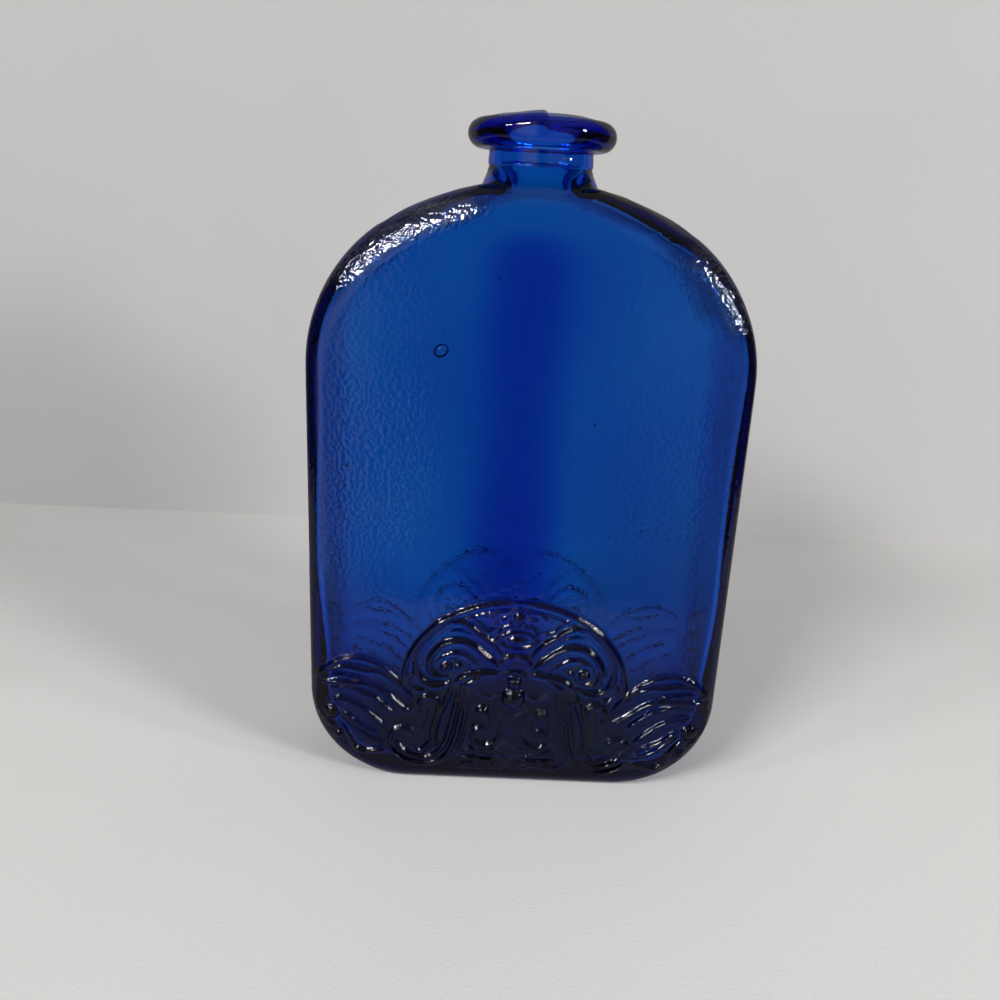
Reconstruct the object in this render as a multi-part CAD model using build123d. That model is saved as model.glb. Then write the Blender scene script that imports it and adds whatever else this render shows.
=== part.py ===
from build123d import *
import os
from math import cos, pi, radians, sin, sqrt

os.makedirs("parts", exist_ok=True)

# Driving dimensions of the flask, in millimetres.
body_width = 150.0          # across the two straight sides
body_depth = 52.4           # between the two flat panels, without the relief
spring_height = 157.0       # where a straight side turns into the shoulder
shoulder_r = 54.0           # arc from the straight side into the crown
crown_r = 93.75             # flatter arc over the top, between the two shoulder arcs
heel_r = 36.0               # rounded lower corners
panel_edge_r = 6.0          # rounding between a flat panel and the side band

# Thickness of the glass.
panel_wall = 3.2
side_wall = 4.2
floor_thickness = 9.0       # the foot of the flask is the thickest glass
cavity_edge_r = 5.0         # rounding inside, between panel and side band
cavity_heel_r = 26.0

# The shallow push-up under the foot, which leaves a bearing rim round it.
bearing_width = 5.0
push_up_height = 1.2
push_up_slope = 45.0        # degrees, between its side and the straight down

# Neck, with its flare out of the crown and the band that the finishing tool left round its top.
neck_r = 17.0
neck_length = 9.5           # from the crown up to the applied ring of the lip
neck_flare_width = 2.2
neck_flare_height = 8.0
tooled_band_height = 5.5
tooled_band_depth = 0.5

# The applied ring of the lip, and the straight bore that takes the cork.
mouth_r = 12.0
lip_r = 24.4
lip_roll_r = 4.6            # round outer edge of the ring
lip_slope_rise = 1.3        # the ring's top climbs this much towards the mouth
mouth_edge_r = 1.2          # fire-polished edge round the mouth

# Where the glass is told apart into foot, walls, shoulders and neck.
foot_height = 17.0
shoulder_line_rise = 1.0    # above the spring of the shoulders
neck_root_rise = 2.0        # above the crown

# Relief moulded on both panels.
relief_height = 1.6         # how far a ridge stands out of its panel
bead_height = 2.6           # the beads stand out further
relief_foot_height = 8.0    # lowest line of the relief
relief_margin = 1.5         # plain glass between the relief and the panel's rounding
relief_side_inset = 0.3     # a ridge's top stands this far inside its foot all round
ridge_step = 4.8            # straight runs along a ridge are about this long
overrun = 1.0               # how far a cutting solid runs past what it cuts

# Flats that stand for a round edge, and sides of a round boss.
panel_edge_flat_count = 3
cavity_edge_flat_count = 1
neck_flare_flat_count = 2
lip_roll_flat_count = 5
mouth_edge_flat_count = 1
boss_side_count = 10
arch_span_count = 8

# Values that follow from the ones above.
half_width = body_width / 2
half_depth = body_depth / 2
shoulder_centre = half_width - shoulder_r
crown_centre_drop = sqrt((crown_r - shoulder_r) ** 2 - shoulder_centre**2)
crown_height = spring_height + crown_r - crown_centre_drop
cavity_crown_height = crown_height - side_wall
neck_top_height = crown_height + neck_length
lip_top_height = neck_top_height + 2 * lip_roll_r + lip_slope_rise
shoulder_line_height = spring_height + shoulder_line_rise
neck_root_height = crown_height + neck_root_rise
relief_half_width = half_width - panel_edge_r - relief_margin

# Sections of the relief, as shares of a boss's width and of a bead's width and height.
boss_top_share = 0.75
rim_opening_share = 0.68
bead_waist_share = 0.88
bead_waist_height_share = 0.5
bead_top_share = 0.5

# Crest lines of the relief, right of the centre line, chosen by hand. Each row is a
# place across the panel, a height above the relief's foot and the ridge's width, all as
# shares of the relief's half width.
arch_shares = (0.58, 0.475, 0.505, 0.035)
volute_outer_shares = (
    (0.1, 0.66, 0.025), (0.165, 0.765, 0.035), (0.255, 0.83, 0.04), (0.33, 0.835, 0.04),
    (0.405, 0.78, 0.035), (0.46, 0.695, 0.035), (0.48, 0.6, 0.025), (0.44, 0.52, 0.02),
)
volute_inner_shares = (
    (0.12, 0.605, 0.02), (0.185, 0.68, 0.03), (0.27, 0.745, 0.04), (0.345, 0.74, 0.035),
    (0.405, 0.68, 0.03), (0.41, 0.605, 0.025), (0.365, 0.555, 0.02),
)
leaf_upper_shares = (
    (0.085, 0.57, 0.02), (0.17, 0.57, 0.035), (0.245, 0.555, 0.035), (0.3, 0.51, 0.015),
)
leaf_lower_shares = ((0.185, 0.53, 0.015), (0.225, 0.505, 0.025), (0.255, 0.47, 0.015))
petal_shares = (
    (0.18, 0.49, 0.015), (0.165, 0.455, 0.015), (0.12, 0.435, 0.015), (0.085, 0.445, 0.015),
)
saddle_shares = ((-0.062, 0.655, 0.018), (0, 0.682, 0.03), (0.062, 0.655, 0.018))
sprig_inner_shares = ((0.07, 0.92, 0.02), (0.1, 0.895, 0.025))
sprig_outer_shares = ((0.12, 0.935, 0.02), (0.17, 0.905, 0.025))
brow_shares = ((0.025, 0.865, 0.015), (0.07, 0.86, 0.015), (0.125, 0.825, 0.015))
curl_shares = ((0.255, 0.895, 0.015), (0.205, 0.865, 0.02), (0.165, 0.845, 0.015))
strap_outer_shares = (
    (0.325, 0.47, 0.035), (0.335, 0.365, 0.04), (0.36, 0.27, 0.04), (0.385, 0.18, 0.035),
    (0.425, 0.115, 0.03), (0.49, 0.095, 0.02),
)
strap_inner_shares = (
    (0.26, 0.435, 0.03), (0.27, 0.34, 0.04), (0.28, 0.245, 0.04), (0.31, 0.14, 0.035),
    (0.365, 0.065, 0.035), (0.455, 0.03, 0.03), (0.545, 0.04, 0.03), (0.61, 0.095, 0.03),
    (0.6, 0.16, 0.025), (0.545, 0.165, 0.02),
)
hook_shares = (
    (0.5, 0.33, 0.02), (0.495, 0.38, 0.025), (0.455, 0.42, 0.03), (0.41, 0.38, 0.03),
    (0.42, 0.295, 0.025), (0.445, 0.21, 0.02),
)
scroll_shares = (
    (0.07, 0.315, 0.02), (0.065, 0.23, 0.025), (0.1, 0.16, 0.03), (0.165, 0.15, 0.03),
    (0.2, 0.195, 0.025), (0.17, 0.235, 0.02),
)
foot_leaf_shares = (
    (0.085, 0.07, 0.015), (0.15, 0.1, 0.025), (0.215, 0.095, 0.025), (0.26, 0.06, 0.015),
)
foot_line_shares = ((0.08, 0.03, 0.015), (0.17, 0.045, 0.02), (0.26, 0.025, 0.015))
plume_rim_shares = (
    (0.565, 0.395, 0.025), (0.63, 0.495, 0.035), (0.735, 0.565, 0.045), (0.845, 0.585, 0.045),
    (0.935, 0.535, 0.04), (0.97, 0.44, 0.035), (0.97, 0.35, 0.02),
)
plume_rib_shares = (
    ((0.595, 0.34, 0.02), (0.665, 0.44, 0.035), (0.765, 0.5, 0.04), (0.86, 0.5, 0.04),
     (0.91, 0.445, 0.02)),
    ((0.615, 0.285, 0.02), (0.695, 0.375, 0.035), (0.785, 0.43, 0.04), (0.87, 0.41, 0.02)),
    ((0.645, 0.23, 0.02), (0.725, 0.315, 0.035), (0.82, 0.355, 0.035), (0.9, 0.315, 0.02)),
    ((0.675, 0.175, 0.02), (0.76, 0.245, 0.035), (0.85, 0.26, 0.035), (0.9, 0.215, 0.02)),
    ((0.695, 0.115, 0.02), (0.775, 0.17, 0.035), (0.855, 0.165, 0.02)),
)

# Beads, bosses and rings: place across, height and radius, as shares of the same width.
eye_shares = (0.32, 0.625, 0.038)
bead_shares = (0, 0.542, 0.036)
drop_shares = (0, 0.436, 0.058)
crest_boss_shares = (0, 0.913, 0.038)
scroll_bead_shares = (0.166, 0.344, 0.036)
plume_boss_shares = (0.945, 0.27, 0.03)
cartouche_shares = (0, 0.781, 0.098, 0.048)   # place, height, half length and half height
core_shares = (0, 0.781, 0.05, 0.02)
lozenge_shares = (0, 0.1, 0.055)


def flask_outline(inset, foot_z, corner_r):
    """Front view, drawn in by an inset: straight sides, round lower corners, three top arcs."""
    half_w = half_width - inset
    corner_x = half_w - corner_r
    corner_z = foot_z + corner_r
    reach = (shoulder_r - inset) / (crown_r - shoulder_r)
    tip = Vector(
        shoulder_centre + shoulder_centre * reach, spring_height + crown_centre_drop * reach
    )
    top = Vector(0, crown_height - inset)
    with BuildSketch() as outline:
        with BuildLine():
            Line((0, foot_z), (corner_x, foot_z))
            TangentArc((corner_x, foot_z), (half_w, corner_z), tangent=(1, 0))
            Line((half_w, corner_z), (half_w, spring_height))
            TangentArc((half_w, spring_height), tip, tangent=(0, 1))
            TangentArc(top, tip, tangent=(1, 0))
            Line(top, (0, foot_z))
        make_face()
        mirror(about=Plane.YZ)
    return outline.sketch.wire()


def round_edge(radius, flat_count, start_angle=0, end_angle=90):
    """Corners of the flats that stand for an arc, measured from the arc's own centre."""
    step = (end_angle - start_angle) / flat_count
    turns = [radians(start_angle + step * count) for count in range(flat_count + 1)]
    return [(radius * cos(turn), radius * sin(turn)) for turn in turns]


def flat_flask(inset, foot_z, corner_r, half_d, edge_r, flat_count):
    """Flat panels and a side band, joined all round by an edge rounded in narrow flats."""
    sections = []
    for reach, rise in round_edge(edge_r, flat_count):
        drawn = edge_r - reach
        outline = flask_outline(inset + drawn, foot_z + drawn, corner_r - drawn)
        depth = half_d - edge_r + rise
        sections.append(Pos(0, -depth, 0) * (Plane.XZ * outline))
        sections.insert(0, Pos(0, depth, 0) * (Plane.XZ * outline))
    return Solid.make_loft(sections, ruled=True)


def outer_form():
    return flat_flask(0, 0, heel_r, half_depth, panel_edge_r, panel_edge_flat_count)


def cavity():
    """The hollow that holds the liquid, up to the underside of the crown."""
    return flat_flask(
        side_wall,
        floor_thickness,
        cavity_heel_r,
        half_depth - panel_wall,
        cavity_edge_r,
        cavity_edge_flat_count,
    )


def bore():
    """The straight bore from the cavity through the neck."""
    low_z = cavity_crown_height - side_wall
    high_z = neck_top_height + overrun
    cylinder = Cylinder(
        mouth_r, high_z - low_z, align=(Align.CENTER, Align.CENTER, Align.MIN)
    )
    return Pos(0, 0, low_z) * cylinder


def push_up():
    """A shallow cut under the foot, inside the bearing rim."""
    half_l = half_width - heel_r - bearing_width
    half_w = half_depth - panel_edge_r - bearing_width
    footprint = RectangleRounded(2 * half_l, 2 * half_w, half_w - push_up_height)
    return extrude(footprint, push_up_height, taper=push_up_slope)


def neck_blank():
    """Neck turned about its axis: concave flare, plain stretch and the tooled band."""
    flare_top = cavity_crown_height + neck_flare_height
    band_r = neck_r + tooled_band_depth
    band_z = neck_top_height - tooled_band_height
    flare = [
        (neck_r + neck_flare_width * (1 - across), flare_top - neck_flare_height * down)
        for across, down in round_edge(1, neck_flare_flat_count)
    ]
    points = [
        (0, cavity_crown_height),
        *reversed(flare),
        (neck_r, band_z),
        (band_r, band_z + tooled_band_depth),
        (band_r, neck_top_height),
        (0, neck_top_height),
    ]
    return revolve(Plane.XZ * make_face(Polyline(*points, close=True)), Axis.Z)


def lip_ring():
    """Applied ring: a round outer roll, a top that climbs to the mouth, a polished edge."""
    roll_x = lip_r - lip_roll_r
    roll_z = neck_top_height + lip_roll_r
    edge_x = mouth_r + mouth_edge_r
    edge_z = lip_top_height - mouth_edge_r
    roll = round_edge(lip_roll_r, lip_roll_flat_count, -90)
    edge = round_edge(mouth_edge_r, mouth_edge_flat_count, 90, 180)
    points = [
        (mouth_r, neck_top_height),
        *[(roll_x + x, roll_z + z) for x, z in roll],
        *[(edge_x + x, edge_z + z) for x, z in edge],
    ]
    return revolve(Plane.XZ * make_face(Polyline(*points, close=True)), Axis.Z)


def zone(glass, low_z, high_z):
    """The part of the glass between two heights."""
    wide = body_width + 2 * overrun
    deep = body_depth + 2 * overrun
    block = Box(wide, deep, high_z - low_z, align=(Align.CENTER, Align.CENTER, Align.MIN))
    return glass & (Pos(0, 0, low_z) * block)


def on_panel(share_x, share_z):
    """A place on the front panel, from shares of the relief's half width."""
    return Vector(
        share_x * relief_half_width, relief_foot_height + share_z * relief_half_width
    )


def frustum(foot, top, height):
    """Closed solid between an outline on the front panel and a smaller one further out."""
    low = [Vector(corner.X, -half_depth, corner.Y) for corner in foot]
    high = [Vector(corner.X, -half_depth - height, corner.Y) for corner in top]
    sides = zip(low, low[1:] + low[:1], high[1:] + high[:1], high)
    outlines = [low, high, *sides]
    return Solid(Shell([Face(Wire.make_polygon(outline)) for outline in outlines]))


def drawn_in(outline, inset):
    """The corners moved inwards, each along the middle of its angle, to stand inset further in."""
    moved = []
    for before, corner, after in zip(outline[-1:] + outline, outline, outline[1:] + outline[:1]):
        back = (corner - before).normalized()
        ahead = (after - corner).normalized()
        inward = Vector(-back.Y - ahead.Y, back.X + ahead.X)
        moved.append(corner + inward * (inset / (1 + back.dot(ahead))))
    return moved


def ridge(rows):
    """A moulded ridge along a crest line, wider at its foot than at its top.

    The crest line's third coordinate carries half the ridge's width.
    """
    places = [on_panel(x, z) + Vector(0, 0, width * relief_half_width / 2) for x, z, width in rows]
    crest_line = Spline(*places) if len(places) > 2 else Line(*places)
    spans = max(len(rows) - 1, round(crest_line.length / ridge_step))
    left = []
    right = []
    for step in range(spans + 1):
        spot = crest_line @ (step / spans)
        along = crest_line % (step / spans)
        across = Vector(-along.Y, along.X).normalized() * spot.Z
        left.insert(0, Vector(spot.X, spot.Y) + across)
        right.append(Vector(spot.X, spot.Y) - across)
    outline = right + left
    return frustum(outline, drawn_in(outline, relief_side_inset), relief_height)


def oval(place, shrink_share=1):
    """Corners of an oval on the panel, whole or shrunk to a share of its size."""
    half_l = place[2] * relief_half_width * shrink_share
    half_h = place[-1] * relief_half_width * shrink_share
    turns = [2 * pi * side / boss_side_count for side in range(boss_side_count)]
    centre = on_panel(place[0], place[1])
    return [centre + Vector(half_l * cos(turn), half_h * sin(turn)) for turn in turns]


def oval_boss(place):
    """An oval that stands out of the panel on sloping sides."""
    return frustum(oval(place), oval(place, boss_top_share), relief_height)


def oval_rim(place):
    """The oval boss with its middle left open down to the panel."""
    opening = oval(place, rim_opening_share)
    return oval_boss(place) - frustum(opening, opening, relief_height)


def bead(place):
    """A round bead that stands out further than the ridges, domed in two steps."""
    waist = oval(place, bead_waist_share)
    waist_height = bead_height * bead_waist_height_share
    dome = frustum(waist, oval(place, bead_top_share), bead_height - waist_height)
    return frustum(oval(place), waist, waist_height) + Pos(0, -waist_height, 0) * dome


def both_sides(solids):
    """The solids and their mirror images left of the centre line."""
    return solids + [mirror(solid, about=Plane.YZ) for solid in solids]


def arch():
    """Half an ellipse over the scrolls, from foot to foot."""
    half, rise, foot, width = arch_shares
    turns = [pi * span / arch_span_count for span in range(arch_span_count + 1)]
    return [ridge([(half * cos(turn), foot + rise * sin(turn), width) for turn in turns])]


def volutes():
    """Two scrolls a side, the outer one round the inner one, with an eye in the middle."""
    return both_sides([ridge(volute_outer_shares), ridge(volute_inner_shares), bead(eye_shares)])


def crest():
    """Boss and oval cartouche under the arch, with brows, curls and sprigs beside them."""
    side = [sprig_inner_shares, sprig_outer_shares, brow_shares, curl_shares]
    middle = [oval_boss(crest_boss_shares), oval_rim(cartouche_shares), oval_boss(core_shares)]
    return both_sides([ridge(rows) for rows in side]) + middle


def knot():
    """Beads on the centre line under a saddle, with petals and leaves to each side."""
    leaves = [ridge(leaf_upper_shares), ridge(leaf_lower_shares), ridge(petal_shares)]
    return both_sides(leaves) + [ridge(saddle_shares), bead(bead_shares), bead(drop_shares)]


def ribbons():
    """Two straps a side that hang from the knot and curl up, and a hook beside them."""
    return both_sides([ridge(strap_outer_shares), ridge(strap_inner_shares), ridge(hook_shares)])


def lower_scrolls():
    """Beaded scrolls over a pair of leaves, with a lozenge between them."""
    side = both_sides(
        [
            ridge(scroll_shares),
            ridge(foot_leaf_shares),
            ridge(foot_line_shares),
            bead(scroll_bead_shares),
        ]
    )
    return side + [oval_boss(lozenge_shares)]


def plumes():
    """A feather at each lower corner: a rim, the ribs under it and a boss at its tip."""
    ribs = [ridge(rows) for rows in plume_rib_shares]
    return both_sides([ridge(plume_rim_shares), bead(plume_boss_shares)] + ribs)


def save(name, solids):
    """Write one node, which may hold several separate solids."""
    shape = solids[0] if len(solids) == 1 else Compound(children=solids)
    export_step(shape, f"parts/{name}.step")
    print(f"{name}: {len(solids)} solids, {sum(solid.volume for solid in solids):.0f} mm3")


def main():
    glass = outer_form() + neck_blank() - cavity() - bore() - push_up()
    save("foot", zone(glass, 0, foot_height).solids())
    save("walls", zone(glass, foot_height, shoulder_line_height).solids())
    save("shoulders", zone(glass, shoulder_line_height, neck_root_height).solids())
    save("neck", zone(glass, neck_root_height, neck_top_height).solids())
    save("lip_ring", lip_ring().solids())
    motifs = {
        "arch": arch,
        "volutes": volutes,
        "crest": crest,
        "knot": knot,
        "ribbons": ribbons,
        "lower_scrolls": lower_scrolls,
        "plumes": plumes,
    }
    for name, make in motifs.items():
        front = [solid for shape in make() for solid in shape.solids()]
        save(f"front_{name}", front)
        save(f"back_{name}", [Rot(0, 0, 180) * solid for solid in front])


main()
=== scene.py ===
"""A cobalt-blue moulded glass flask with an applied lip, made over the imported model.

Run as a script, it registers the add-on, builds the glass and the stage, and hands the
scene over. Lengths inside the script are millimetres until a mesh is written.
"""
from math import pi, radians
from typing import NamedTuple

import bpy
import numpy as np
from mathutils import Matrix, Vector


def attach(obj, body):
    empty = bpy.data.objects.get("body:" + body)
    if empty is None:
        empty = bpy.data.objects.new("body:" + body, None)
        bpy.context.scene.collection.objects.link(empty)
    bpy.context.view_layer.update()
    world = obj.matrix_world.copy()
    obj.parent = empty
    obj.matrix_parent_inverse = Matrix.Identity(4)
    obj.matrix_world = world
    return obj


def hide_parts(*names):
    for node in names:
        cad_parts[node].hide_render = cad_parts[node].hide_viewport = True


bl_info = {
    "name": "Moulded glass flask",
    "version": (1, 0, 0),
    "blender": (4, 5, 0),
    "location": "View3D > Sidebar > Flask",
    "description": "A cobalt-blue glass flask with moulded scrolls, plumes and an applied lip",
    "category": "Add Mesh",
}

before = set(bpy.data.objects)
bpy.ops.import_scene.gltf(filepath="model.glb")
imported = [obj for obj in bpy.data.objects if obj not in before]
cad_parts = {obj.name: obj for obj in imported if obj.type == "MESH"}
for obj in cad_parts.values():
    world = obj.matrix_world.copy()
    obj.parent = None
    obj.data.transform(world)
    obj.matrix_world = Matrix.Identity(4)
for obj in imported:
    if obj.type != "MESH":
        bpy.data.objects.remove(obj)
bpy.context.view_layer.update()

METRE = 0.001  # metres in one of the script's millimetres
BODY = "root"
GLASS_NODES = sorted(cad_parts)

# The glass is one tube of rings, from the middle of the base over the lip to the inner floor.
# Counts are for a quarter of a ring: along the panel, round its edge, and over the side.
FINE_QUARTER = (106, 8, 6)
INNER_QUARTER = (19, 6, 5)
PANEL_RINGS = 54  # from the relief's top to the crown
INNER_RINGS = 70  # down the inner walls
FLOOR_RINGS = 22  # in over the inner floor
WALL_LOW = 7.0  # height of the lowest ring of the outer walls
INNER_WALL_LOW = 6.0  # and of the inner ones, above the inner floor
CROWN_RING = 201.0  # above this the rings leave the panels for the neck
INNER_CROWN_DROP = 3.0  # and this much lower inside
# The base: one column is kept out of so many, at these shares of the way out to the walls.
BASE_RINGS = (
    (4, (0.08, 0.18, 0.29, 0.4, 0.47)),
    (2, (0.5, 0.53, 0.56, 0.6, 0.65, 0.7)),
    (1, (0.74, 0.78, 0.81, 0.84, 0.87, 0.9, 0.925, 0.95, 0.97, 0.985)),
)
PUSH_UP = 1.2  # the middle of the base stands this much higher
PUSH_UP_SPAN = (0.46, 0.57)  # shares of the way out between which it comes down

# Relief, as a whole.
RELIEF_ROW = 0.66  # height of one row of the mesh over the relief
RELIEF_TOP = 84.0  # height where those rows end
RELIEF_GAIN = (1.25, 0.6)  # shares of the written heights that the front and back stand out by
RELIEF_SPREAD = (1.0, 1.3)  # and of the written widths
RELIEF_DEPTH = 20.3  # places further than this from the middle plane are on a face
RELIEF_FACING = (0.3, 0.85)  # how squarely the skin faces out where the relief starts and is whole
RELIEF_ENDS = (69.5, 73.5)  # half widths between which it sinks away by the sides
TILT_HEIGHT = 40.0  # height of the point that it leans about
ARCH_HEIGHT = 42.0  # height of the arches' centre

# Roundings and the neck.
EDGE_GROWTH = (150, 196)  # heights between which the edge's rounding grows
INNER_EDGE = 3.6  # that rounding on the inner skin, at the sides
INNER_CROWN_EDGE = 5.0  # and over the crown
INNER_HEEL = 27.0  # the inner skin's lower corners
OUTER_FOOT = (19.4, 25.5)  # foot of the neck on the unrolled crown: half across, half deep
INNER_FOOT = (17.5, 25.0)  # the same on the inner skin
FOOT_POWER = 0.8  # of cosine and sine, which squares the foot's ellipse slightly
PAST_FOOT = 0.93  # share of the foot's reach where the skin's direction is taken
NECK_START = (0.25, -5.7)  # top of the flare, from the neck's radius and the ring's start
# The band and grooves that the lipping tool left: out from the neck, up from the ring's start.
TOOL_BAND = (
    (0.05, -5.5), (0.1, -5.2), (0.25, -5.0), (0.38, -4.6), (0.38, -3.6), (0.32, -2.6), (0.2, -2.2),
    (0.33, -1.8), (0.14, -1.3), (0.3, -0.9), (0.15, -0.4), (0.5, -0.05), (1.1, 0.1), (1.9, 0.1),
)
OUTSIDE = 15.0  # radii over this are outside the mouth
LIP_ROLL = 4.6  # radius of the applied ring's round edge
LIP_FACE = ((-1.8, -0.9), (-3.6, -0.42), (-5.2, -0.1))  # from the round edge's centre and the top
MOUTH_EDGE = ((1.3, 0), (0.6, -0.12), (0.18, -0.5), (0, -1.1))  # from the mouth's radius and the top
# The bore below the mouth: how much wider than the mouth, and at what height.
BORE = ((0.3, 235.1), (1.1, 233.7), (1.8, 231.8), (2.0, 229.5), (2.0, 227), (2.0, 224.5), (1.9, 222))

# Uneven glass, in millimetres.
MIDDLE_THICKENING = 2.9  # the panels are thicker on the centre line
MIDDLE_PLACE, MIDDLE_SPREAD = -2.0, 13.0  # where across, and how broadly
LOW_THICKENING = 2.2  # and the walls are thicker towards the foot
CROWN_THICKENING = 1.3  # and under the crown

# Stage, in metres.
STAGE_HALF, STAGE_FRONT, BACKDROP_TOP = 0.45, -0.19, 0.6
CAMERA_PLACE = (-0.01213, -0.318, 0.2089)
CAMERA_TURNS = (18.11, 0.74, 2.82)  # pitch, yaw and roll, in degrees
AIM = (0, 0, 0.12)  # the point that most lamps look at
# Lamps: name, place, point looked at, size, power, and whether the glass mirrors it.
LAMPS = (
    ("fill_left", (-0.66, -0.90, 0.90), AIM, (0.42, 0.24), 5.5, False),
    ("fill_right", (0.95, -0.76, 0.54), AIM, (0.30, 0.26), 4.0, False),
    ("strip_left", (-0.66, -0.90, 0.92), AIM, (0.44, 0.11), 7.0, True),
    ("strip_far_left", (-1.0, -0.58, 0.78), AIM, (0.18, 0.10), 2.5, True),
    ("strip_right", (0.95, -0.76, 0.54), AIM, (0.24, 0.18), 7.0, True),
    ("window_right", (1.0, -0.46, 0.57), (0, 0, 0.2), (0.10, 0.20), 2.5, True),
)

# Seeds caught in the front panel: place across, height, length, width and lean in degrees.
SEEDS = (
    (-29.8, 163.2, 5.2, 4.3, -55.0),
    (-61.0, 123.3, 3.0, 0.9, 75.0),
    (22.0, 141.0, 1.2, 0.8, 10.0),
    (-12.0, 187.0, 0.9, 0.7, 40.0),
    (41.0, 104.0, 1.4, 0.6, 80.0),
)

# The relief, right of the centre line, by motif. A row is a ridge: its width, its height
# and the places that its crest passes, across the panel and above the foot.
ARCH = (
    (2.3, 1.5, "arch", (40.2, 33.4)),
    (1.5, 0.7, "arch", (36.8, 30.0)),
)
VOLUTES = (
    (2.8, 1.5, ((5.5, 54), (8, 58), (11, 60.8), (14.3, 63), (17.5, 65.5), (21.5, 67), (25.5, 66.3),
        (29, 63.5), (32.5, 60), (35, 56), (36.2, 51), (35.5, 46), (33.5, 42.5), (30, 40.8), (26, 41),
        (23.5, 42.5))),
    (2.8, 1.6, ((6.3, 49.5), (9, 52), (12, 54.7), (15, 57.2), (18.5, 58.8), (22, 59), (26, 57.7),
        (29, 55), (31, 51.3), (31, 47.5), (29, 44.7), (26, 44.3))),
    (1.7, 0.8, ((14, 49.5), (17, 52.5), (21, 54), (25, 53.3), (27.7, 51.5))),
    (1.6, 0.7, ((30, 61), (33, 57), (33.8, 51.5), (33, 47))),
    (1.5, 0.6, ((9.5, 56.5), (14, 60.2), (18.5, 62.4), (23, 63), (27, 61.5))),
    (1.6, 0.9, ((32.5, 38.5), (35, 38.2), (37.8, 40.5), (38.2, 44.5))),
)
CREST = (
    (1.9, 1.0, ((4.2, 69.8), (6.3, 68.4))),
    (1.7, 1.0, ((7.6, 71.2), (10.2, 69))),
    (1.5, 0.8, ((10.8, 68.9), (12.5, 69.4))),
    (1.6, 0.9, ((1, 65.5), (3.5, 66.2), (5.5, 65.2), (7.3, 62.3))),
    (1.6, 0.9, ((19, 70.3), (15.5, 68), (13.3, 65.3), (11, 63.9), (8.7, 63.8))),
    (1.3, 0.6, ((21, 69.8), (24, 69.3), (28, 67.2), (32, 63.8))),
)
KNOT = (
    (2.3, 1.4, ((6, 47.3), (10.5, 46.9), (14.5, 46.2), (18.5, 45), (22, 42))),
    (2.0, 1.2, ((12, 45.5), (15, 43.5), (18, 41.3))),
    (2.0, 1.3, ((0, 54.3), (3, 53.8), (4.5, 52.5), (5.4, 50.5))),
    (1.3, 0.8, ((0, 48), (2.8, 47.3), (4, 45.5))),
    (1.2, 0.6, ((5.5, 46), (9.5, 46.6), (13.2, 43.8), (12.4, 39.2), (8.5, 37), (5.4, 38.6))),
    (1.2, 0.6, ((4.6, 35.4), (4.2, 32.3), (2.4, 30), (0, 29.2))),
)
RIBBONS = (
    (2.4, 1.5, ((22.9, 41.3), (23.6, 37.5), (25.3, 32), (26.8, 28), (28, 23), (28.5, 18.5), (30.2, 16),
        (32.5, 13.3), (34, 12.9), (36.5, 14))),
    (2.2, 1.4, ((19.8, 41), (20.8, 33), (21.8, 27), (22.9, 21), (24, 17), (26.3, 13.3), (29.3, 11),
        (32.5, 10.2), (36.3, 10.8), (40, 13.3), (42.5, 17))),
    (2.1, 1.4, ((17.8, 41), (18.3, 33), (19.2, 26), (20.3, 19), (22.2, 13.5), (25.5, 9.5), (30, 7.8),
        (35, 7.7), (40, 9.3), (43.5, 12.5), (44.6, 16.5))),
    (1.5, 0.9, ((15.8, 41), (16.2, 35), (16, 30), (16.8, 23), (18, 18), (19.7, 13), (21, 10))),
    (2.3, 1.5, ((44.5, 16), (43.8, 20), (41, 22), (37.5, 21.8), (35.7, 20))),
    (2.1, 1.4, ((34.5, 29.5), (34.3, 33), (32.5, 35.6), (30, 36), (27.8, 34.6), (27, 31.5), (27.5, 28),
        (28.8, 23.5), (29.5, 19))),
    (1.4, 0.8, ((31, 31.5), (31.4, 28), (32.4, 24), (33, 20))),
)
LOWER_SCROLLS = (
    (2.0, 1.3, ((4.2, 29.5), (3.8, 25), (4.3, 21), (6.3, 18), (9.5, 16.8), (12.7, 17.8), (14.2, 20.5),
        (13, 23.3), (10.3, 23.8), (8.6, 22))),
    (1.4, 0.8, ((8.2, 29.5), (7.3, 26), (7.3, 23))),
    (1.3, 0.7, ((13, 17), (10, 15.5), (5, 15.3), (0, 18.8))),
    (1.3, 0.7, ((0, 19), (4.5, 14.5), (0, 10))),
    (1.2, 0.6, ((0, 10), (3, 6.8))),
    (1.6, 1.0, ((18.5, 12), (16, 14.6), (12, 15), (8, 13.7), (5, 12.2))),
    (1.6, 0.9, ((18, 10.3), (14, 11), (10, 10.5), (5, 10.7))),
    (1.3, 0.7, ((4, 8.3), (9, 9), (14, 8.6), (19.5, 8.8))),
    (1.3, 0.6, ((1, 6), (10, 6.3), (20, 6.2))),
    (1.4, 0.8, ((13.8, 31), (14.2, 27), (15.2, 23))),
)
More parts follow.
